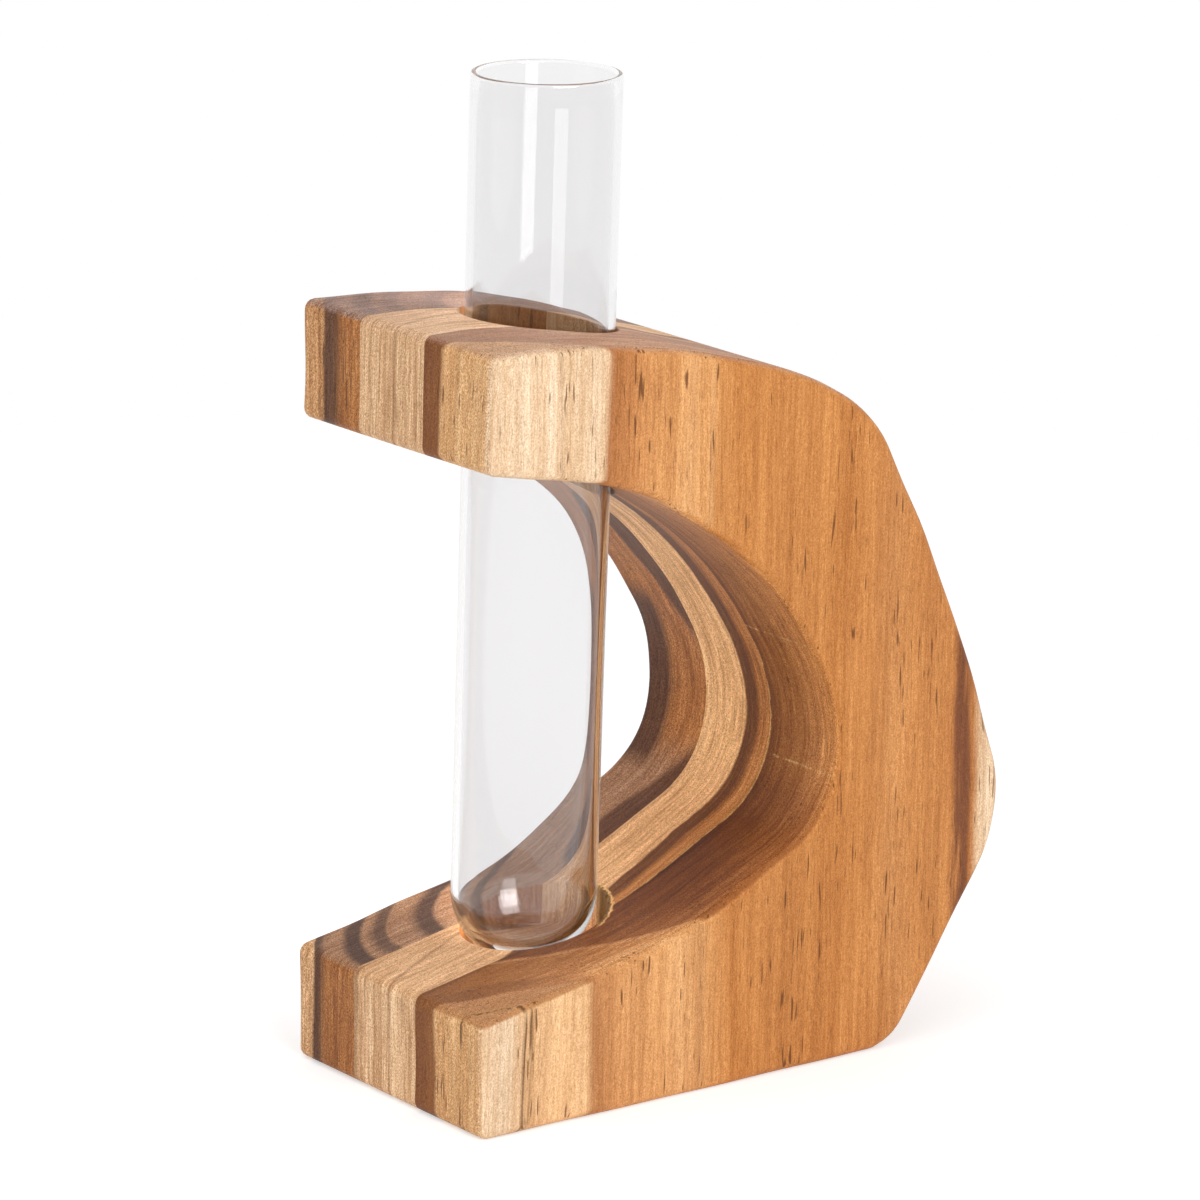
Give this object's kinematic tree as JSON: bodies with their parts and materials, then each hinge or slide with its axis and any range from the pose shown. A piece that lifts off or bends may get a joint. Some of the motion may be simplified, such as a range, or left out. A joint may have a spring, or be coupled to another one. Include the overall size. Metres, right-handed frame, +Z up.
{
  "type": "test tube vase",
  "caption": "Glass test tube with a round bottom standing upright in a C-shaped wooden holder of glued boards; holds a stem or a small bunch of flowers.",
  "frame": {"origin": "middle of the bounding box's bottom, on the surface that the holder stands on", "axes": "+Z up along the tube, +X from the open tips to the closed back of the holder, Y across the boards"},
  "size_m": [0.112, 0.054, 0.1734],
  "materials": {
    "near_wood": "sanded and oiled, warm orange-brown heartwood with a pale sapwood edge",
    "middle_wood": "sanded and oiled, pale sapwood with brown heartwood near the back",
    "far_wood": "sanded and oiled, dark brown heartwood",
    "tube_glass": "clear laboratory glass with a melted rim"
  },
  "bodies": {
    "holder": {"near_board": "near_wood", "middle_board": "middle_wood", "far_board": "far_wood"},
    "tube": {"test_tube": "tube_glass"}
  },
  "joints": [
    {"name": "tube_lift", "type": "slide", "parent": "holder", "child": "tube", "axis": [0, 0, 1], "range_m": [0, 0.12]}
  ]
}
